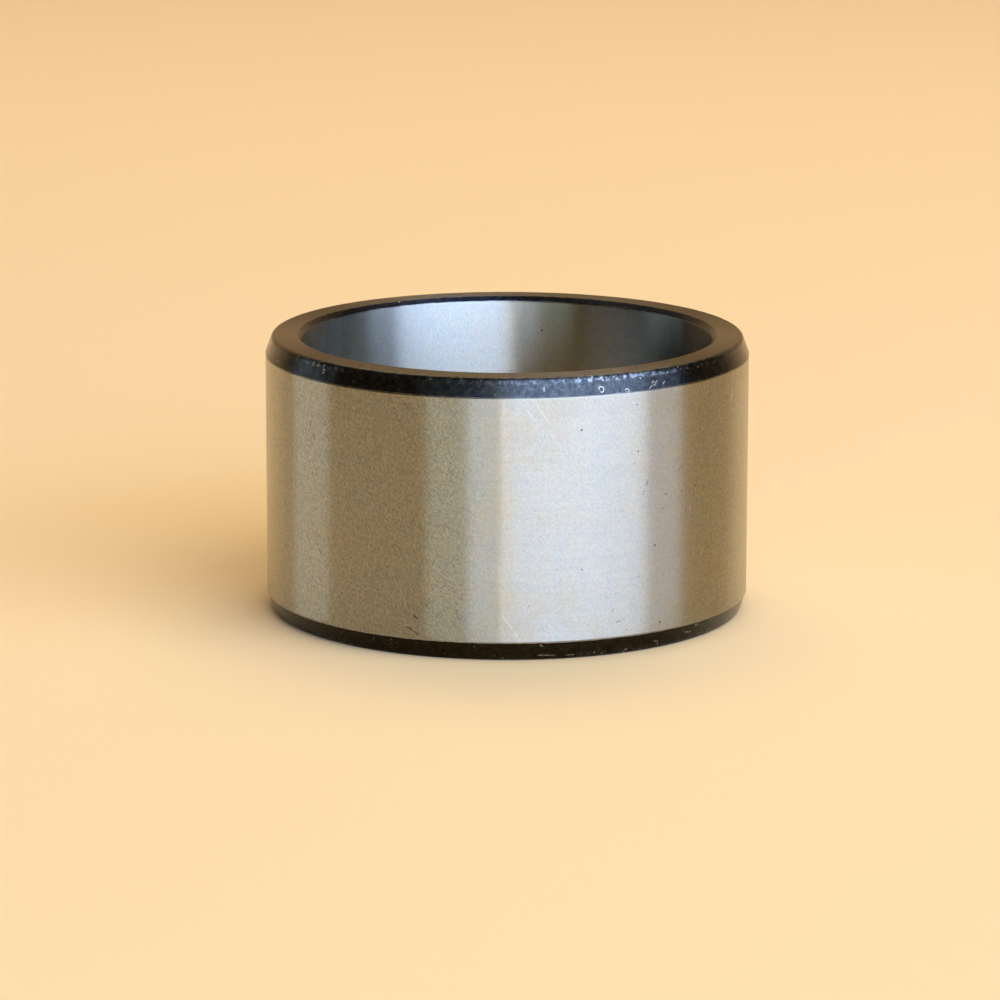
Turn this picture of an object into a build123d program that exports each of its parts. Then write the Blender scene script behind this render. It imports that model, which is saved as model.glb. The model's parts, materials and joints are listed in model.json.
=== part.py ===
from build123d import *
import os

# Sleeve bushing for a pivot pin: one ring of hardened steel, ground outside and in its bore.
# Millimetres. The bore runs along +Z, and the origin is the centre of the lower end face.

# Driving dimensions
bore_diameter = 3.5 * IN
outside_diameter = 4.125 * IN
sleeve_length = 2.375 * IN
lead_in_length = 5 / 32 * IN  # axial length of the taper at each end of the outside wall
lead_in_angle = 20  # degrees between the taper and the outside wall
bore_chamfer = 1.0  # 45 degree break at each mouth of the bore
end_edge_radius = 1.0  # blends each end face into its lead-in taper

with BuildPart() as bushing_sleeve:
    with BuildSketch():
        Circle(outside_diameter / 2)
        Circle(bore_diameter / 2, mode=Mode.SUBTRACT)
    extrude(amount=sleeve_length)

    # Long shallow lead-in tapers, so that the sleeve starts square in its housing
    outside_wall = bushing_sleeve.faces().filter_by(GeomType.CYLINDER).sort_by(SortBy.RADIUS)[-1]
    outside_rims = outside_wall.edges().filter_by(GeomType.CIRCLE)
    chamfer(outside_rims, length=lead_in_length, angle=lead_in_angle, reference=outside_wall)

    # Small breaks at the mouths of the bore, where the pin goes in
    bore_wall = bushing_sleeve.faces().filter_by(GeomType.CYLINDER).sort_by(SortBy.RADIUS)[0]
    chamfer(bore_wall.edges().filter_by(GeomType.CIRCLE), length=bore_chamfer)

    # The corner between each end face and its taper is rolled over, not sharp
    end_faces = bushing_sleeve.faces().filter_by(GeomType.PLANE)
    fillet([face.outer_wire().edge() for face in end_faces], radius=end_edge_radius)

bushing_sleeve.part.label = "bushing_sleeve"

os.makedirs("parts", exist_ok=True)
export_step(bushing_sleeve.part, "parts/bushing_sleeve.step")

box = bushing_sleeve.part.bounding_box()
print(f"bushing_sleeve: {box.size.X:.3f} x {box.size.Y:.3f} x {box.size.Z:.3f} mm, "
      f"{bushing_sleeve.part.volume / 1000:.2f} cm3")
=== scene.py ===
import json
import math
import bpy
from mathutils import Matrix, Vector


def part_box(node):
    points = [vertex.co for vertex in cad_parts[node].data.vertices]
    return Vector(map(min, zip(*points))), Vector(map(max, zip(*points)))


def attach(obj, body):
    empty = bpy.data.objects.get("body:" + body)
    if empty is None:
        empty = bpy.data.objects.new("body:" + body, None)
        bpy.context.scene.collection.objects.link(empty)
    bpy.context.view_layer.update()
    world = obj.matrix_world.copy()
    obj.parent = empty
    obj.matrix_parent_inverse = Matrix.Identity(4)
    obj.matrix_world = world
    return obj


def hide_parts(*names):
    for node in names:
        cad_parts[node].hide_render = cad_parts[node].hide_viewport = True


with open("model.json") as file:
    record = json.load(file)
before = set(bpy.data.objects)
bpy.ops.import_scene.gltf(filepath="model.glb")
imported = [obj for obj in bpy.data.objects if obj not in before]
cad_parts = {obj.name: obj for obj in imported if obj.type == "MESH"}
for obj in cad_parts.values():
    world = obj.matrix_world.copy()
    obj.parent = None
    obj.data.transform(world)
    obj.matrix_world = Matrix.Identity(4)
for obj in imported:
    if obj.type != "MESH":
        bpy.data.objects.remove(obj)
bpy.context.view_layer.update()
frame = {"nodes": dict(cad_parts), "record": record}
mm = 0.001
mounts = {m["name"]: m for m in frame["record"]["mounts"]}
print("frame loaded:", sorted(frame["nodes"]))

# The sleeve's own sizes, in metres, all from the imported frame
sleeveLow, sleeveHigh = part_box("bushing_sleeve")
length = sleeveHigh.z - sleeveLow.z
boreRadius = mounts["bore"]["dims"]["r_mm"] * mm
outsideRadius = mounts["outside_wall"]["dims"]["r_mm"] * mm
leadLength = (length - mounts["outside_wall"]["dims"]["length_mm"] * mm) / 2
breakSize = (length - mounts["bore"]["dims"]["length_mm"] * mm) / 2
leadAngle = 20  # degrees, between each taper and the axis
leadDepth = leadLength * math.tan(math.radians(leadAngle))


# A node's output that can be added, multiplied and so on like a number
class Wire:
    def __init__(self, bench, socket):
        self.bench, self.socket = bench, socket

    def maths(self, operation, *others):
        return self.bench.maths(operation, self, *others)

    def __add__(self, other):
        return self.maths("ADD", other)

    def __sub__(self, other):
        return self.maths("SUBTRACT", other)

    def __rsub__(self, other):
        return self.bench.maths("SUBTRACT", other, self)

    def __mul__(self, other):
        return self.maths("MULTIPLY", other)

    def __truediv__(self, other):
        return self.maths("DIVIDE", other)

    def __rtruediv__(self, other):
        return self.bench.maths("DIVIDE", other, self)

    def __pow__(self, other):
        return self.maths("POWER", other)

    def __neg__(self):
        return self.maths("MULTIPLY", -1.0)

    __radd__ = __add__
    __rmul__ = __mul__


# Makes nodes in one tree: kind, settings, sockets, and which output to hand back
class Bench:
    def __init__(self, tree):
        self.tree = tree
        tree.nodes.clear()

    def node(self, kind, settings=None, sockets=None, out=0):
        made = self.tree.nodes.new(kind)
        for name, value in (settings or {}).items():
            setattr(made, name, value)
        for key, value in (sockets or {}).items():
            if isinstance(value, Wire):
                self.tree.links.new(value.socket, made.inputs[key])
            else:
                made.inputs[key].default_value = value
        return Wire(self, made.outputs[out]) if made.outputs else made

    def other(self, wire, out):
        return Wire(self, wire.socket.node.outputs[out])

    def maths(self, operation, *values):
        return self.node("ShaderNodeMath", {"operation": operation}, dict(enumerate(values)))

    def vector(self, x, y, z):
        return self.node("ShaderNodeCombineXYZ", None, {0: x, 1: y, 2: z})

    def vectorMaths(self, operation, first, second):
        slot = "Scale" if operation == "SCALE" else 1
        return self.node("ShaderNodeVectorMath", {"operation": operation}, {0: first, slot: second})

    def split(self, vector):
        apart = self.node("ShaderNodeSeparateXYZ", None, {0: vector})
        return apart, self.other(apart, "Y"), self.other(apart, "Z")

    def blend(self, amount, under, over):
        sockets = {0: amount, 6: under, 7: over}
        sockets = {k: (*v, 1) if isinstance(v, tuple) else v for k, v in sockets.items()}
        return self.node("ShaderNodeMix", {"data_type": "RGBA"}, sockets, 2)


# The turned sleeve, before its finish: the inputs of its Geometry Nodes tree
sleeveShape = {
    "Bore Radius": boreRadius,
    "Outside Radius": outsideRadius,
    "Length": length,
    "Lead Length": leadLength,
    "Lead Depth": leadDepth,
    "Break": breakSize,
    "End Roll": 1.0 * mm,  # radius between end face and taper
    "Edge Roll": 0.15 * mm,  # radius left on every other edge by handling
    "Roll Steps": 4,
    "Around": 720,
    "Wall Step": 2.8 * mm,
    "Fine Step": 0.42 * mm,
    "Nick Spacing": 5.0 * mm,
    "Nick Depth": 0.10 * mm,
    "Nick Size": 0.10,  # the smallest one's radius, as a share of the spacing; the largest is twice that
    "Nick Odds": 0.45,
    "Nick Reach": 1.4,  # how far from the ends they come, in lead lengths
    "Nick Seed": 3.0,
    "Map Margin": 0.004,  # left free round the wear map
}
wholeSlack = 0.1  # for comparing whole numbers
placeSlack = 0.0001 * mm  # for comparing places


# The wall's section: a closed outline with rolled corners, cut into the rows that the sleeve will have
def sectionOutline(bench, size, position):
    bore, outside, tall = size["Bore Radius"], size["Outside Radius"], size["Length"]
    lead, depth, edgeBreak = size["Lead Length"], size["Lead Depth"], size["Break"]

    # eight corners, from the bore's top break down, round and back up
    corners = [
        (bore + edgeBreak, tall), (bore, tall - edgeBreak), (bore, edgeBreak), (bore + edgeBreak, 0.0),
        (outside - depth, 0.0), (outside, lead), (outside, tall - lead), (outside - depth, tall),
    ]
    index = bench.node("GeometryNodeInputIndex")
    outline = bench.node("GeometryNodeCurvePrimitiveCircle", {"mode": "RADIUS"},
                         {"Resolution": len(corners)})
    pick = bench.node("GeometryNodeIndexSwitch", {"data_type": "VECTOR"})
    pickNode = pick.socket.node
    while len(pickNode.index_switch_items) < len(corners):
        pickNode.index_switch_items.new()
    bench.tree.links.new(index.socket, pickNode.inputs["Index"])
    for place, (radius, height) in enumerate(corners):
        corner = bench.vector(radius, 0.0, height)
        bench.tree.links.new(corner.socket, pickNode.inputs[place + 1])
    outline = bench.node("GeometryNodeSetPosition", None, {"Geometry": outline, "Position": pick})

    # end faces roll over into the tapers, at corners 4 and 7; other edges are only just broken
    isRoll = bench.maths("COMPARE", bench.maths("MODULO", index, 3.0), 1.0, wholeSlack)
    isRoll = isRoll * bench.maths("GREATER_THAN", index, 3.0)
    roll = size["Edge Roll"] + isRoll * (size["End Roll"] - size["Edge Roll"])
    outline = bench.node("GeometryNodeFilletCurve", {"mode": "POLY"},
                         {"Curve": outline, "Radius": roll, "Count": size["Roll Steps"]})

    # rows are close together on tapers, faces and breaks, and further apart on the long walls
    pointCount = bench.node("GeometryNodeAttributeDomainSize", {"component": "CURVE"},
                            {"Geometry": outline}, "Point Count")
    following = bench.node("GeometryNodeFieldAtIndex", {"data_type": "FLOAT_VECTOR", "domain": "POINT"},
                           {"Index": bench.maths("MODULO", index + 1.0, pointCount), "Value": position})
    gap = bench.node("ShaderNodeVectorMath", {"operation": "DISTANCE"},
                     {0: position, 1: following}, "Value")
    isWall = bench.maths("GREATER_THAN", gap, tall / 2)
    step = size["Fine Step"] + isWall * (size["Wall Step"] - size["Fine Step"])
    outline = bench.node("GeometryNodeSubdivideCurve", None,
                         {"Curve": outline, "Cuts": bench.maths("FLOOR", gap / step)})

    # the long walls' rows crowd towards their ends, so that shading stays flat up to the edges
    across, _, height = bench.split(position)
    onBore = bench.maths("COMPARE", across, bore, placeSlack)
    onOutside = bench.maths("COMPARE", across, outside, placeSlack)
    half = tall / 2 - edgeBreak * onBore - lead * onOutside
    spread = tall / 2 + half * bench.maths("SINE", (height - tall / 2) / half * (math.pi / 2))
    crowded = height + (onBore + onOutside) * (spread - height)
    return bench.node("GeometryNodeSetPosition", None,
                      {"Geometry": outline, "Position": bench.vector(across, 0.0, crowded)})


# A flat grid rolled round the axis, with one row of it for each point of the section
def rolledSheet(bench, size, position, outline):
    rows = bench.node("GeometryNodeAttributeDomainSize", {"component": "CURVE"},
                      {"Geometry": outline}, "Point Count")
    sheet = bench.node("GeometryNodeMeshGrid", None, {
        "Size X": 1.0, "Size Y": 1.0, "Vertices X": size["Around"] + 1.0, "Vertices Y": rows + 1.0})
    flatX, flatY, _ = bench.split(position)
    turn = flatX + 0.5
    row = bench.maths("ROUND", (flatY + 0.5) * rows)
    isLastRow = bench.maths("COMPARE", row, rows, wholeSlack)
    sectionIndex = bench.maths("MODULO", row, rows)
    sectionPlace = bench.node("GeometryNodeSampleIndex", {"data_type": "FLOAT_VECTOR", "domain": "POINT"},
                              {"Geometry": outline, "Value": position, "Index": sectionIndex})
    runLength = bench.node("GeometryNodeSplineParameter", None, None, "Factor")
    run = bench.node("GeometryNodeSampleIndex", {"data_type": "FLOAT", "domain": "POINT"},
                     {"Geometry": outline, "Value": runLength, "Index": sectionIndex})
    run = run + isLastRow * (1.0 - run)

    # the wear map's layout: two half turns, one above the other, each with the section up its height
    secondHalf = bench.node("GeometryNodeFieldOnDomain", {"data_type": "FLOAT", "domain": "FACE"},
                            {"Value": turn})
    secondHalf = bench.maths("GREATER_THAN", secondHalf, 0.5)
    margin = size["Map Margin"]
    mapX = margin + (1.0 - 2.0 * margin) * (turn * 2.0 - secondHalf)
    mapY = (margin + (1.0 - 2.0 * margin) * run) * 0.5 + secondHalf * 0.5
    sheet = bench.node("GeometryNodeStoreNamedAttribute", {"data_type": "FLOAT2", "domain": "CORNER"},
                       {"Geometry": sheet, "Name": "OFBake", "Value": bench.vector(mapX, mapY, 0.0)})

    reach, _, up = bench.split(sectionPlace)
    angle = turn * (2 * math.pi)
    rolled = bench.vector(reach * bench.maths("COSINE", angle), reach * bench.maths("SINE", angle), up)
    sheet = bench.node("GeometryNodeSetPosition", None, {"Geometry": sheet, "Position": rolled})
    return bench.node("GeometryNodeMergeByDistance", None, {"Geometry": sheet, "Distance": 0.001 * mm})


# Handling nicks: a few shallow dents, only near the ends
def nickedSheet(bench, size, position, sheet):
    cells = bench.node("ShaderNodeTexVoronoi", {"voronoi_dimensions": "4D", "feature": "F1"}, {
        "Vector": position, "Scale": 1.0 / size["Nick Spacing"], "W": size["Nick Seed"]})
    lot, sizing, _ = bench.split(bench.other(cells, "Color"))
    dentSize = size["Nick Size"] * (1.0 + sizing)
    dent = bench.maths("MAXIMUM", 1.0 - cells / dentSize, 0.0)
    _, _, here = bench.split(position)
    fromEnd = bench.maths("MINIMUM", here, size["Length"] - here)
    nearEnd = bench.maths("LESS_THAN", fromEnd, size["Lead Length"] * size["Nick Reach"])
    hit = bench.maths("GREATER_THAN", lot, 1.0 - size["Nick Odds"])
    push = dent * (2.0 - dent) * nearEnd * hit * size["Nick Depth"]
    normal = bench.node("GeometryNodeInputNormal")
    inward = bench.vectorMaths("SCALE", normal, -push)
    return bench.node("GeometryNodeSetPosition", None, {"Geometry": sheet, "Offset": inward})


def turnSleeveTree():
    tree = bpy.data.node_groups.new("turnedSleeve", "GeometryNodeTree")
    bench = Bench(tree)
    for name, value in sleeveShape.items():
        kind = "NodeSocketInt" if isinstance(value, int) else "NodeSocketFloat"
        tree.interface.new_socket(name, in_out="INPUT", socket_type=kind)
    tree.interface.new_socket("Steel", in_out="INPUT", socket_type="NodeSocketMaterial")
    tree.interface.new_socket("Sleeve", in_out="OUTPUT", socket_type="NodeSocketGeometry")
    given = bench.node("NodeGroupInput")
    size = {name: bench.other(given, name) for name in [*sleeveShape, "Steel"]}
    position = bench.node("GeometryNodeInputPosition")
    outline = sectionOutline(bench, size, position)
    sheet = rolledSheet(bench, size, position, outline)
    sheet = nickedSheet(bench, size, position, sheet)
    sheet = bench.node("GeometryNodeSetShadeSmooth", None, {"Geometry": sheet, "Shade Smooth": True})
    sheet = bench.node("GeometryNodeRealizeInstances", None, {"Geometry": sheet})
    sheet = bench.node("GeometryNodeSetMaterial", None, {"Geometry": sheet, "Material": size["Steel"]})
    bench.node("NodeGroupOutput", None, {"Sleeve": sheet})
    return tree


def makeSleeve(steel):
    tree = turnSleeveTree()
    blank = bpy.data.objects.new("sleeveBlank", bpy.data.meshes.new("sleeveBlank"))
    bpy.context.scene.collection.objects.link(blank)
    turning = blank.modifiers.new("turning", "NODES")
    turning.node_group = tree
    for item in tree.interface.items_tree:
        if item.in_out == "INPUT":
            turning[item.identifier] = steel if item.name == "Steel" else sleeveShape[item.name]
    bpy.context.view_layer.update()
    shaped = blank.evaluated_get(bpy.context.evaluated_depsgraph_get())
    mesh = bpy.data.meshes.new_from_object(shaped)
    mesh.name = "ground_sleeve"
    mesh.materials.clear()
    mesh.materials.append(steel)
    bpy.data.objects.remove(blank)
    sleeve = bpy.data.objects.new("ground_sleeve", mesh)
    bpy.context.scene.collection.objects.link(sleeve)
    return sleeve


# The finish: ground bright on the walls, oil-blacked on the ends. Sizes here are in millimetres, as the
# shader works on object coordinates times 1000.
steelFinish = {
    "groundCool": (0.378, 0.386, 0.352),
    "groundWarm": (0.395, 0.374, 0.305),
    "mauveTint": (0.43, 0.38, 0.385),
    "greenTint": (0.365, 0.395, 0.315),
    "boreLightGain": (1.42, 1.44, 1.46),  # painted light: the bore's steel is made brighter than the outside wall's
    "groundRoughness": 0.305,
    "boreRoughness": 0.37,
    "boreShadeLevel": 0.40,  # how dark the painted shade makes the bore below its upper part, and at its sides
    "boreShadeFrom": 41.0,  # height at which that painted shade starts, and at which it is full
    "boreShadeFull": 30.0,
    # stretches round the sleeve, in degrees: from, to, and how far each fades beyond those
    "boreShadeSides": (88.0, 124.0, 16.0),  # painted shade at the bore's sides, and the same on the left
    "calmSide": (-3.0, 42.0, 12.0),  # where the outside wall is rubbed clean
    # painted shade: a darker stretch of the outside wall on the right
    "paintedShadeSide": (54.0, 60.0, 12.0),
    "pittedSide": (30.0, 56.0, 8.0),
    "wornSide": (22.0, 52.0, 12.0),  # where the black is chipped most
    "wornLeft": (-52.0, -44.0, 5.0),
    "lighterLowSide": (60.0, 90.0, 15.0),  # where the painted shade on the lower end is lighter
    "scratchTone": (0.66, 0.64, 0.58),
    "blackTone": (0.042, 0.048, 0.053),
    "blackWorn": (0.122, 0.110, 0.086),
    # painted shade: a darker, bluer black on the bore's breaks
    "breakShadeTone": (0.026, 0.034, 0.056),
    "blackRoughness": 0.24,
    "polishTone": (0.26, 0.28, 0.30),
    "bareTone": (0.50, 0.45, 0.37),  # where the black has chipped off
    "lowShadeTone": (0.017, 0.011, 0.003),  # painted shade on the lower end
    # chips on the lower end, darkened by the same painted shade
    "lowShadeBare": (0.20, 0.15, 0.085),
    "rustTone": (0.16, 0.085, 0.03),
    "pitTone": (0.10, 0.08, 0.055),
    # the colour of stains and smears, also used for painted shade
    "stainAndShadeTone": (0.30, 0.25, 0.155),
    "raggedness": 0.16,  # how far the black's edge wanders
    "edgeSoftness": 0.09,
    "fleckLean": 28,  # degrees
    "crossFleckLean": -20,
    "blackLean": -35,
    "waveRelief": 0.012,  # heights of the relief
    "fleckRelief": 0.0035,
    "wheelRelief": 0.002,
    "grainRelief": 0.026,
    "mottleRelief": 0.02,
    "pitRelief": 0.03,
}

# Cloudy patterns: repeats a millimetre, detail, roughness and, for some, a draw
steelPatterns = {
    "cloud": (0.06, 2.0, 0.55),
    "mottle": (0.34, 3.0, 0.6),
    "hue": (0.9, 1.0, 0.5),
    "flecks": (2.9, 3.0, 0.65),
    "crossFlecks": (3.9, 1.0, 0.5),
    "wheelLines": (1.0, 2.0, 0.7),
    "pitCrowd": (0.045, 1.0, 0.5, 4),
    "jitter": (2.6, 2.0, 0.6),
    "wander": (0.55, 4.0, 0.7),
    "blackMottle": (0.8, 4.0, 0.65),
    "grain": (3.1, 3.0, 0.7),
    "rubbed": (0.75, 3.0, 0.65, 6),
    "wave": (0.11, 1.0, 0.5),
}

# Scattered specks: spacing, size, the share of places that have one, and a draw
steelSpecks = {
    "pits": (2.6, 0.25, 0.05, 1),
    "finePits": (1.3, 0.15, 0.03, 2),
    "rust": (2.3, 0.32, 0.012, 3),
    "rollChips": (0.75, 0.27, 0.02, 7),
    "strayChips": (1.5, 0.22, 0.05, 8),
}

# Handling marks, each at so many degrees round from the front and so many millimetres above the base:
# kind, angle, height, length, width, tilt in degrees from upright (positive leans left at the top)
handlingMarks = [
    ("bright", -24.5, 12.5, 3.6, 0.09, 27),
    ("bright", -24.0, 7.5, 2.2, 0.07, 35),
    ("bright", -46.5, 38.5, 1.0, 0.14, 10),
    ("bright", -57.5, 39.0, 1.4, 0.12, 15),
    ("bright", 52.0, 19.0, 1.6, 0.12, -20),
    ("bright", 56.0, 36.5, 0.6, 0.14, 0),
    ("bright", 63.0, 30.5, 0.3, 0.18, 0),
    ("bright", 66.0, 51.0, 2.6, 0.22, -20),
    ("chip", 47.5, 29.5, 0.5, 0.22, -20),
    ("dark", -52.5, 46.5, 1.7, 0.15, 8),
    ("dark", -51.0, 44.0, 1.1, 0.15, 35),
    ("dark", -49.0, 19.5, 1.4, 0.15, 30),
    ("dark", -45.0, 6.5, 0.8, 0.12, 30),
    ("dark", -11.5, 10.0, 2.4, 0.11, 12),
    ("dark", 25.0, 10.0, 0.8, 0.12, -40),
    ("dark", 26.5, 7.5, 1.0, 0.15, -70),
    ("dark", 34.0, 36.5, 0.9, 0.20, -28),
    ("dark", 33.0, 34.5, 0.8, 0.15, -20),
    ("dark", 44.0, 38.5, 1.8, 0.13, -60),
    ("pit", 31.0, 53.5, 0, 0.26, 0),
    ("pit", 31.5, 43.5, 0, 0.28, 0),
    ("pit", 30.5, 41.0, 0, 0.20, 0),
    ("pit", 39.5, 33.5, 0, 0.26, 0),
    ("pit", 38.5, 30.5, 0, 0.24, 0),
    ("pit", 44.5, 33.5, 0, 0.24, 0),
    ("pit", 49.5, 34.0, 0, 0.26, 0),
    ("pit", 46.0, 29.0, 0, 0.26, 0),
    ("pit", 38.0, 6.0, 0, 0.36, 0),
    ("pit", 5.0, 12.0, 0, 0.20, 0),
    ("rust", -21.5, 8.8, 1.0, 0.24, 55),
    ("rust", -23.0, 6.2, 1.0, 0.26, 55),
    ("rust", -21.4, 5.4, 0.7, 0.24, 60),
    ("smear", -19.0, 4.8, 3.6, 0.38, 75),
    ("smear", -10.5, 4.7, 2.6, 0.34, 85),
    ("smear", -47.0, 36.5, 2.2, 0.50, 15),
    ("smear", 44.0, 41.0, 3.0, 0.45, -55),
    ("ring", 22.0, 57.4, 0, 0.55, 0),
    ("ring", 28.5, 56.7, 0, 0.38, 0),
    ("ring", 36.0, 57.5, 0, 0.40, 0),
    ("ring", -48.5, 58.4, 0, 0.38, 0),
    ("chip", 35.0, 56.9, 0.9, 0.15, -50),
    ("chip", 37.0, 57.8, 0.5, 0.16, -30),
    ("chip", 39.0, 57.4, 0.7, 0.18, -60),
    ("chip", 8.5, 57.9, 0.2, 0.20, 0),
    ("chip", 7.8, 3.5, 0.7, 0.18, 60),
    ("chip", 9.2, 1.1, 3.6, 0.13, 88),
    ("chip", 15.0, 0.9, 1.6, 0.12, 92),
    ("chip", -1.0, 0.6, 0.1, 0.20, 0),
    ("chip", 37.5, 1.8, 1.2, 0.18, 85),
    ("chip", 48.0, 2.2, 2.0, 0.22, 82),
    ("chip", 50.5, 3.4, 0.9, 0.24, 70),
]


# The bench for the steel: fields of place on the sleeve, in millimetres, and the patterns that are shared
class SteelBench(Bench):
    def __init__(self, tree):
        super().__init__(tree)
        objectPlace = self.node("ShaderNodeTexCoord", None, None, "Object")
        self.place = self.vectorMaths("SCALE", objectPlace, 1 / mm)
        x, y, self.z = self.split(self.place)
        self.radius = (x * x + y * y) ** 0.5
        self.turn = self.maths("ARCTAN2", x, -y)  # 0 at the front, growing towards +X
        self.fromEnd = self.maths("MINIMUM", self.z, length / mm - self.z)
        self.isOutside = self.maths("GREATER_THAN", self.radius, (boreRadius + outsideRadius) / 2 / mm)
        self.isBore = 1.0 - self.isOutside
        self.mottle = self.pattern("mottle")
        self.cloud = self.pattern("cloud")
        self.jitter = self.pattern("jitter") - 0.5
        self.flecks = self.pattern("flecks", self.leaning(steelFinish["fleckLean"], (1.0, 1.0, 0.5)))
        wheelPlace = self.vectorMaths("MULTIPLY", self.place, (0.05, 0.05, 2.6))
        self.wheelLines = self.pattern("wheelLines", wheelPlace)
        self.blackMottle = self.pattern("blackMottle")
        self.grain = self.pattern("grain", self.leaning(steelFinish["blackLean"], (1.0, 1.0, 0.5)))

    def noise(self, vector, scale, detail, roughness, draw=0):
        if draw:
            vector = self.vectorMaths("ADD", vector, (draw * 37.0, draw * 11.0, draw * 23.0))
        sockets = {"Vector": vector, "Scale": scale, "Detail": detail, "Roughness": roughness}
        return self.node("ShaderNodeTexNoise", None, sockets, "Fac")

    def pattern(self, name, vector=None):
        return self.noise(vector or self.place, *steelPatterns[name])

    # 0 below low, 1 above high, eased between; low may be the greater, to fall instead of rise
    def ramped(self, value, low, high):
        return self.node("ShaderNodeMapRange", {"interpolation_type": "SMOOTHSTEP", "clamp": True},
                         {"Value": value, "From Min": low, "From Max": high})

    # 1 between two angles round the sleeve, fading over so many degrees outside them
    def between(self, start, stop, fade):
        start, stop, fade = math.radians(start), math.radians(stop), math.radians(fade)
        return self.ramped(self.turn, start - fade, start) * self.ramped(self.turn, stop + fade, stop)

    # place turned about the axis as it climbs, so that patterns lean by tilt degrees, then stretched
    def leaning(self, tilt, stretch):
        twist = self.z * (math.tan(math.radians(tilt)) / (outsideRadius / mm))
        turned = self.node("ShaderNodeVectorRotate", {"rotation_type": "Z_AXIS"},
                           {"Vector": self.place, "Angle": twist})
        return self.vectorMaths("MULTIPLY", turned, stretch)

    # round spots of about one size, one in a share of the cells, more of them where crowd is above 0
    def specks(self, name, crowd):
        spacing, size, share, draw = steelSpecks[name]
        moved = self.vectorMaths("ADD", self.place, (draw * 13.0, draw * 29.0, draw * 7.0))
        cell = self.node("ShaderNodeTexVoronoi", {"feature": "F1"},
                         {"Vector": moved, "Scale": 1 / spacing, "Randomness": 1.0})
        lot, sizing, _ = self.split(self.other(cell, "Color"))
        reach = (size / spacing) * (0.45 + 0.75 * sizing)
        spot = self.ramped(reach - cell, 0.0, 0.45 * size / spacing)
        return spot * self.ramped(lot + crowd, 1 - share, 1.02 - share)

    # long thin peaks of a leaning stretched field
    def hairlines(self, tilt, draw):
        field = self.noise(self.leaning(tilt, (2.6, 2.6, 0.16)), 1.0, 0.0, 0.5, draw)
        return self.ramped(field, 0.79, 0.83)

    # one handling mark: a stroke, a blot or an open ring, its edge broken by the shared jitter
    def mark(self, kind, angle, height, span, width, tilt):
        across = (self.turn - math.radians(angle)) * self.radius
        up = self.z - height
        lean = math.radians(tilt)
        along = up * math.cos(lean) - across * math.sin(lean)
        beside = up * math.sin(lean) + across * math.cos(lean)
        if kind == "ring":
            mouth = self.maths("GREATER_THAN", beside + up * 0.6, -width)
            gap = self.maths("ABSOLUTE", (along * along + beside * beside) ** 0.5 - width)
            return self.ramped(gap + 0.05 * self.jitter, 0.17, 0.05) * mouth
        over = self.maths("MAXIMUM", self.maths("ABSOLUTE", along) - span / 2, 0.0)
        gap = (over * over + beside * beside) ** 0.5
        if kind != "pit":
            gap = gap + self.jitter * (width * (2.0 if kind in ("dark", "bright") else 4.0))
        return self.ramped(gap, width * 1.1, width * (0.3 if kind != "smear" else -0.6))

    def most(self, *values):
        highest = values[0]
        for value in values[1:]:
            highest = self.maths("MAXIMUM", highest, value)
        return highest


# 1 on the ground walls, 0 where the grinding stopped and the black is left; and a painted highlight line
# between
def groundParts(bench):
    finish, isOutside = steelFinish, bench.isOutside
    wallLead, boreLead = leadLength / mm, breakSize / mm
    wander = bench.pattern("wander") - 0.5
    limit = boreLead + isOutside * (wallLead - boreLead) + wander * (2 * finish["raggedness"])
    inside = bench.fromEnd - limit
    ground = bench.ramped(inside, -finish["edgeSoftness"] / 2, finish["edgeSoftness"] / 2)
    # painted highlight: a thin band just inside the edge of the outside wall's grinding
    edgeHighlight = bench.ramped(inside, 0.05, 0.1) * bench.ramped(inside, 0.34, 0.22) * isOutside
    return ground, edgeHighlight


# The marks placed one by one, gathered by kind
def placedMarks(bench):
    marks = {}
    for kind, *sizes in handlingMarks:
        marks.setdefault(kind, []).append(bench.mark(kind, *sizes))
    return {kind: bench.most(*shapes) * bench.isOutside for kind, shapes in marks.items()}


# The ground steel itself: tints, painted light and painted shade in the bore, leaning flecks, the wheel's
# lines and a painted highlight along the wall's edges
def cleanTone(bench, edgeHighlight):
    finish, ramped, mottle = steelFinish, bench.ramped, bench.mottle
    hue = bench.pattern("hue")
    patches = ramped(bench.cloud * 0.5 + mottle * 0.5, 0.36, 0.64)
    bright = bench.blend(patches, finish["groundCool"], finish["groundWarm"])
    bright = bench.blend(0.4 * ramped(hue, 0.5, 0.75), bright, finish["mauveTint"])
    bright = bench.blend(0.35 * ramped(hue, 0.5, 0.25), bright, finish["greenTint"])
    # painted light: the same ground steel, made brighter in the bore
    boreLight = bench.blend(bench.isBore, (1.0, 1.0, 1.0), finish["boreLightGain"])
    bright = bench.vectorMaths("MULTIPLY", bright, boreLight)

    # painted shade in the bore: darker towards the bottom and at its sides
    start, stop, fade = finish["boreShadeSides"]
    sides = bench.most(bench.between(start, stop, fade), bench.between(-stop, -start, fade))
    shadeBelow = ramped(bench.z + 12.0 * (mottle - 0.5), finish["boreShadeFrom"], finish["boreShadeFull"])
    boreShade = bench.most(shadeBelow, sides * (0.6 + 0.6 * mottle)) * bench.isBore

    calm = bench.between(*finish["calmSide"]) * bench.isOutside
    gain = 0.7 + bench.isOutside * 1.3 - calm * 1.3
    crossPlace = bench.leaning(finish["crossFleckLean"], (1.0, 1.0, 0.55))
    crossFlecks = bench.pattern("crossFlecks", crossPlace)
    shade = 1.0 + gain * (0.75 * (bench.flecks - 0.5) + 0.42 * (crossFlecks - 0.5))
    # the edge line brightens the wall by a painted highlight along its edge
    shade = shade + 0.18 * (mottle - 0.5) + 0.16 * (bench.wheelLines - 0.5) + 0.12 * edgeHighlight
    return bright, shade * (1.0 - boreShade * (1.0 - finish["boreShadeLevel"]))


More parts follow.
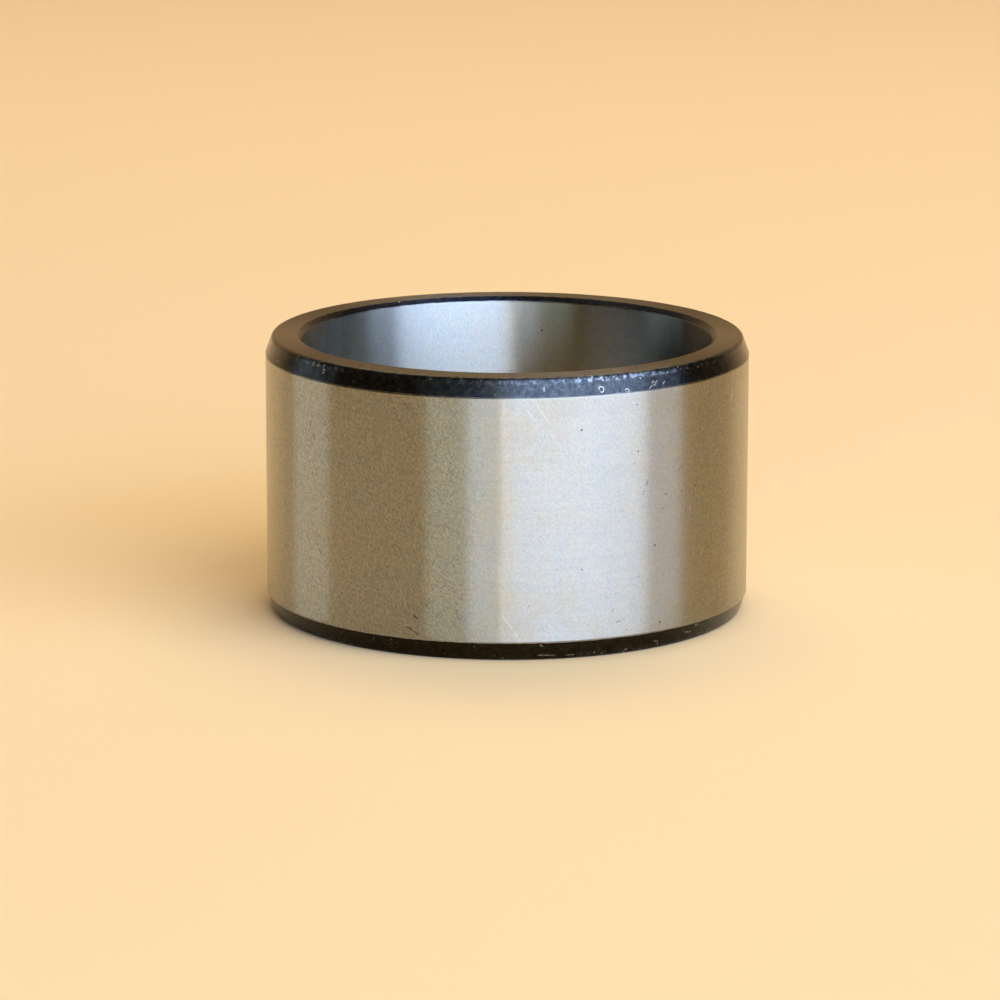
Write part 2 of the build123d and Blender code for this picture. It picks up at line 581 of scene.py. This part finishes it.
# Pits, scattered thinly and gathered in a few places: the larger ones, then all the fine ones
def scatteredPits(bench, ground):
    crowd = 0.20 * bench.ramped(bench.pattern("pitCrowd"), 0.50, 0.64)
    pits = bench.specks("pits", crowd) * ground
    dotted = 0.11 * bench.between(*steelFinish["pittedSide"]) * bench.isOutside
    finePits = bench.specks("finePits", crowd * 0.6 + dotted) * ground
    return pits, finePits


# The ground walls' colour with all their soiling, and the stains with painted shade, and dark pits, on
# their own
def groundTone(bench, ground, edgeHighlight, marks, pits, finePits):
    finish, ramped = steelFinish, bench.ramped
    bright, shade = cleanTone(bench, edgeHighlight)

    # oil stains, scattered and near the ends of the wall, and painted shade on one stretch of the right
    # side
    nearEnds = 0.05 * ramped(bench.fromEnd, 16.0, 4.0)
    stainAndShade = ramped(bench.cloud * 0.55 + bench.mottle * 0.45 + nearEnds, 0.545, 0.66) * 0.20
    shadeSide = bench.between(*finish["paintedShadeSide"])
    stainAndShade = bench.most(stainAndShade, shadeSide * (0.20 + 0.45 * bench.mottle)) * bench.isOutside
    bright = bench.blend(stainAndShade, bright, finish["stainAndShadeTone"])

    bright = bench.vectorMaths("SCALE", bright, shade)
    scratches = bench.hairlines(32, 5) * ramped(bench.cloud, 0.52, 0.57)
    scratches = bench.most(scratches * 0.3, marks["bright"] * 0.9)
    bright = bench.blend(scratches, bright, finish["scratchTone"])
    bright = bench.blend(marks["smear"] * 0.5, bright, finish["stainAndShadeTone"])
    rustCrowd = 0.09 * ramped(bench.fromEnd, 9.0, 4.5)
    rustSpots = bench.specks("rust", rustCrowd) * ground * bench.isOutside
    bright = bench.blend(bench.most(rustSpots, marks["rust"]) * 0.85, bright, finish["rustTone"])
    darkPits = bench.most(pits, finePits * 0.8, marks["pit"], marks["dark"] * 0.75)
    bright = bench.blend(darkPits * 0.85, bright, finish["pitTone"])
    bright = bench.blend(marks["chip"] * 0.6, bright, finish["scratchTone"])
    return bright, stainAndShade, darkPits


# The black: mottled, rubbed browner on the end faces, with painted shade on the lower end and on the bore's
# breaks, chipped along the rolled edge and most of all towards the right
def blackenedTone(bench, ground, marks, flatness):
    finish, ramped, fromEnd = steelFinish, bench.ramped, bench.fromEnd
    wallLead = leadLength / mm
    onTaper = bench.isOutside * (1.0 - flatness) * (1.0 - ground)
    worn = bench.most(flatness * 0.9, ramped(bench.blackMottle, 0.52, 0.75) * 0.3)
    black = bench.blend(worn, finish["blackTone"], finish["blackWorn"])
    # painted shade on the bore's breaks
    black = bench.blend(bench.isBore * (1.0 - flatness), black, finish["breakShadeTone"])
    lighterLow = 0.3 * bench.between(*finish["lighterLowSide"])
    # painted shade: darker and warmer on the lower end
    lowShade = ramped(bench.z, wallLead + 0.6, wallLead - 0.2) * (0.9 - lighterLow)
    black = bench.blend(lowShade, black, finish["lowShadeTone"])
    blotches = 1.0 + 2.3 * (bench.blackMottle - 0.5) + 2.3 * (bench.grain - 0.5)
    black = bench.vectorMaths("SCALE", black, bench.most(blotches, 0.15))

    wornSide = bench.between(*finish["wornSide"])
    leftSide = bench.between(*finish["wornLeft"])
    onRoll = ramped(bench.maths("ABSOLUTE", fromEnd - 0.75), 0.85, 0.2) * bench.isOutside
    rubbed = onRoll * ramped(bench.pattern("rubbed"), 0.47, 0.60)
    rubbed = rubbed * (0.25 + 0.5 * bench.most(wornSide, leftSide)) * (1.0 - lowShade)
    black = bench.blend(rubbed, black, finish["polishTone"])

    rollCrowd = onRoll * (0.07 + 0.30 * bench.most(wornSide, leftSide * 0.6))
    rollChips = bench.specks("rollChips", rollCrowd) * (1.0 - ground)
    strayChips = bench.specks("strayChips", 0.04 + 0.10 * wornSide) * onTaper
    chips = bench.most(rollChips, strayChips * 0.75, marks["chip"], marks["ring"] * 0.85)
    blackScratch = bench.hairlines(-38, 9) * ramped(bench.cloud, 0.42, 0.47) * onTaper * 0.5
    black = bench.blend(blackScratch, black, finish["polishTone"])
    bare = bench.blend(lowShade, finish["bareTone"], finish["lowShadeBare"])
    return bench.blend(chips * 0.85, black, bare), chips


# Relief, in millimetres: waviness that unsettles reflections, then flecks and wheel lines or the black's
# grain, then pits
def steelRelief(bench, ground, pits):
    finish = steelFinish
    wavePlace = bench.vectorMaths("MULTIPLY", bench.place, (1.0, 1.0, 0.35))
    wave = bench.pattern("wave", wavePlace) * finish["waveRelief"]
    skin = bench.flecks * finish["fleckRelief"] + bench.wheelLines * finish["wheelRelief"]
    hide = bench.grain * finish["grainRelief"] + bench.blackMottle * finish["mottleRelief"]
    return wave + hide + ground * (skin - hide) - finish["pitRelief"] * pits


def makeSteel():
    steel = bpy.data.materials.new("groundAndBlackedSteel")
    steel.use_nodes = True
    bench = SteelBench(steel.node_tree)
    finish = steelFinish
    ground, edgeHighlight = groundParts(bench)
    marks = placedMarks(bench)
    pits, finePits = scatteredPits(bench, ground)
    bright, stainAndShade, darkPits = groundTone(bench, ground, edgeHighlight, marks, pits, finePits)
    flatness = bench.ramped(bench.fromEnd, 0.25, 0.02)  # 1 on the end faces
    black, chips = blackenedTone(bench, ground, marks, flatness)

    roughWall = finish["groundRoughness"]
    roughWall = roughWall + bench.isBore * (finish["boreRoughness"] - finish["groundRoughness"])
    roughWall = roughWall + 0.06 * (bench.flecks - 0.5) + 0.05 * stainAndShade + 0.2 * darkPits
    roughBlack = finish["blackRoughness"] + 0.16 * (bench.blackMottle - 0.5)
    roughBlack = roughBlack + 0.12 * chips + 0.06 * flatness
    bump = bench.node("ShaderNodeBump", None, {
        "Strength": 1.0, "Distance": mm, "Height": steelRelief(bench, ground, pits)}, "Normal")
    surface = bench.node("ShaderNodeBsdfPrincipled", None, {
        "Base Color": bench.blend(ground, black, bright),
        "Metallic": 1.0,
        "Roughness": roughBlack + ground * (roughWall - roughBlack),
        "Normal": bump,
        "Anisotropic": 1.0,
        "Anisotropic Rotation": 0.25,
    })
    bench.node("ShaderNodeOutputMaterial", None, {"Surface": surface})
    return steel


steel = makeSteel()
print("steel:", len(steel.node_tree.nodes), "nodes")
sleeve = makeSleeve(steel)
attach(sleeve, "root")
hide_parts("bushing_sleeve")
print("sleeve:", len(sleeve.data.vertices), "points,", len(sleeve.data.polygons), "faces")

studio = {
    "floorSize": 8.0,
    "floorColour": (0.88, 0.68, 0.44),
    "panelDistance": 1.4,
    "floorPanelDistance": 3.0,
    "skyColour": (0.9, 0.72, 0.5),
    "skyStrength": 0.02,
    "wallGlow": (0.80, 0.58, 0.34),
    "wallAway": 1.3,
    "wallHeight": 1.0,
    "wallSides": 96,
}

# Upright panels round the sleeve: the stretch that each covers in degrees from straight in front, towards
# the right, then how low and how high it reaches, and its colour times its brightness
uprightPanels = {
    "windowLeft": (0.8, 14, -1, 34, (3.75, 4.6, 6.5)),
    "windowMain": (14, 47, -1, 34, (3.85, 4.85, 6.9)),
    "windowRight": (47, 68, -1, 34, (3.6, 4.45, 6.3)),
    "windowEnd": (68, 89, -1, 34, (1.3, 1.6, 2.3)),
    "windowFrame": (-1.9, -1.1, -1, 34, (24.0, 25.4, 28.0)),
    "frontNear": (-18, -4.4, -1, 13, (3.9, 4.9, 6.2)),
    "frontFar": (-37, -18.5, -1, 13, (1.4, 1.8, 1.9)),
    "leftFill": (-118, -91, -1, 11, (1.4, 1.65, 1.75)),
    "warmBack": (132, 228, -1, 45, (0.50, 0.31, 0.15)),
}

# The upper part of the window, which shows in the steel and adds nothing to the floor
steelPanels = {
    "upperLeft": (0.8, 14, 34, 50, (3.5, 4.3, 6.2)),
    "upperMain": (14, 47, 34, 50, (3.5, 4.4, 6.4)),
    "upperRight": (47, 68, 34, 50, (2.9, 3.6, 5.2)),
}

# Panels overhead: angle round, angle up, distance, width, height, colour times brightness
highPanels = {
    "backLight": (180, 60, 1.9, 1.8, 1.2, (2.3, 1.8, 1.15)),
}

# Lights that reach the floor only and leave no reflection in the steel
floorPanels = {
    "floorKey": (50, 54, 1.9, 1.8, 1.3, (2.1, 1.9, 1.2)),
    "floorFill": (0, 90, 3.4, 5.0, 5.0, (0.48, 0.41, 0.25)),
}


def plainMaterial(name, colour, glow=None):
    material = bpy.data.materials.new(name)
    material.use_nodes = True
    bench = Bench(material.node_tree)
    if glow:
        surface = bench.node("ShaderNodeEmission", None, {"Color": (*glow, 1)})
    else:
        surface = bench.node("ShaderNodeBsdfDiffuse", None, {"Color": (*colour, 1)})
    bench.node("ShaderNodeOutputMaterial", None, {"Surface": surface})
    return material


def addStage(name, points, faces, material):
    mesh = bpy.data.meshes.new(name)
    mesh.from_pydata(points, [], faces)
    mesh.materials.append(material)
    stage = bpy.data.objects.new(name, mesh)
    bpy.context.scene.collection.objects.link(stage)
    return stage


def makeFloor():
    side, low = studio["floorSize"], sleeveLow.z
    corners = [(-side, -side), (side, -side), (side, side), (-side, side)]
    paper = plainMaterial("paleFloor", studio["floorColour"])
    addStage("floor", [(x, y, low) for x, y in corners], [(0, 1, 2, 3)], paper)
    # a round wall for the camera alone, just in front of the panels, so that low views end in a pale colour
    sides, away = studio["wallSides"], studio["wallAway"]
    turns = [2 * math.pi * k / sides for k in range(sides)]
    points = [(away * math.cos(turn), away * math.sin(turn), level)
              for level in (low, low + studio["wallHeight"]) for turn in turns]
    faces = [(k, (k + 1) % sides, (k + 1) % sides + sides, k + sides) for k in range(sides)]
    wall = addStage("farWall", points, faces, plainMaterial("paleWall", None, studio["wallGlow"]))
    wall.visible_diffuse = wall.visible_glossy = wall.visible_shadow = False


def addPanel(name, place, outward, width, height, glow):
    strongest = max(glow)
    light = bpy.data.lights.new(name, "AREA")
    light.shape = "RECTANGLE"
    light.size, light.size_y = width, height
    light.energy = math.pi * width * height * strongest
    light.color = [g / strongest for g in glow]
    panel = bpy.data.objects.new(name, light)
    panel.location = place
    panel.rotation_euler = outward.to_track_quat("Z", "Y").to_euler()
    panel.visible_camera = False
    bpy.context.scene.collection.objects.link(panel)
    return panel


def heading(angle, lift=0.0):
    a, e = math.radians(angle), math.radians(lift)
    return Vector((math.sin(a) * math.cos(e), -math.cos(a) * math.cos(e), math.sin(e)))


def lightStudio():
    # upright ones stand there twice: near, for the steel, and further off, for an even light on the floor
    near, far = studio["panelDistance"], studio["floorPanelDistance"]
    upright = [(name, near, sizes) for name, sizes in {**uprightPanels, **steelPanels}.items()]
    upright += [(name + "Far", far, sizes) for name, sizes in uprightPanels.items()]
    for name, away, (start, stop, low, high, glow) in upright:
        width = 2 * away * math.tan(math.radians(stop - start) / 2)
        bottom, top = (away * math.tan(math.radians(angle)) for angle in (low, high))
        outward = heading((start + stop) / 2)
        place = outward * away + Vector((0, 0, length / 2 + (bottom + top) / 2))
        panel = addPanel(name, place, outward, width, top - bottom, glow)
        panel.visible_diffuse, panel.visible_glossy = away == far, away == near
    for name, (angle, lift, distance, width, height, glow) in {**highPanels, **floorPanels}.items():
        outward = heading(angle, lift)
        panel = addPanel(name, outward * distance, outward, width, height, glow)
        panel.visible_glossy = name in highPanels
    world = bpy.data.worlds.new("studio")
    bpy.context.scene.world = world
    world.use_nodes = True
    bench = Bench(world.node_tree)
    sky = bench.node("ShaderNodeBackground", None,
                     {"Color": (*studio["skyColour"], 1), "Strength": studio["skyStrength"]})
    bench.node("ShaderNodeOutputWorld", None, {"Surface": sky})


# The camera, in millimetres and degrees
view = {
    "place": (-1.51, -1084.8, 263.0),
    "downward": 12.466,
    "roll": 0.106,
    "focalLength": 183.2,
    "sensorWidth": 36.0,
}


def placeCamera():
    lens = bpy.data.cameras.new("camera")
    lens.lens, lens.sensor_width = view["focalLength"], view["sensorWidth"]
    camera = bpy.data.objects.new("camera", lens)
    tilt = Matrix.Rotation(math.radians(90 - view["downward"]), 4, "X")
    roll = Matrix.Rotation(math.radians(view["roll"]), 4, "Z")
    camera.matrix_world = Matrix.Translation(Vector(view["place"]) * mm) @ tilt @ roll
    bpy.context.scene.collection.objects.link(camera)
    bpy.context.scene.camera = camera


makeFloor()
lightStudio()
placeCamera()
bpy.context.scene.view_settings.view_transform = "Standard"
print("studio ready")
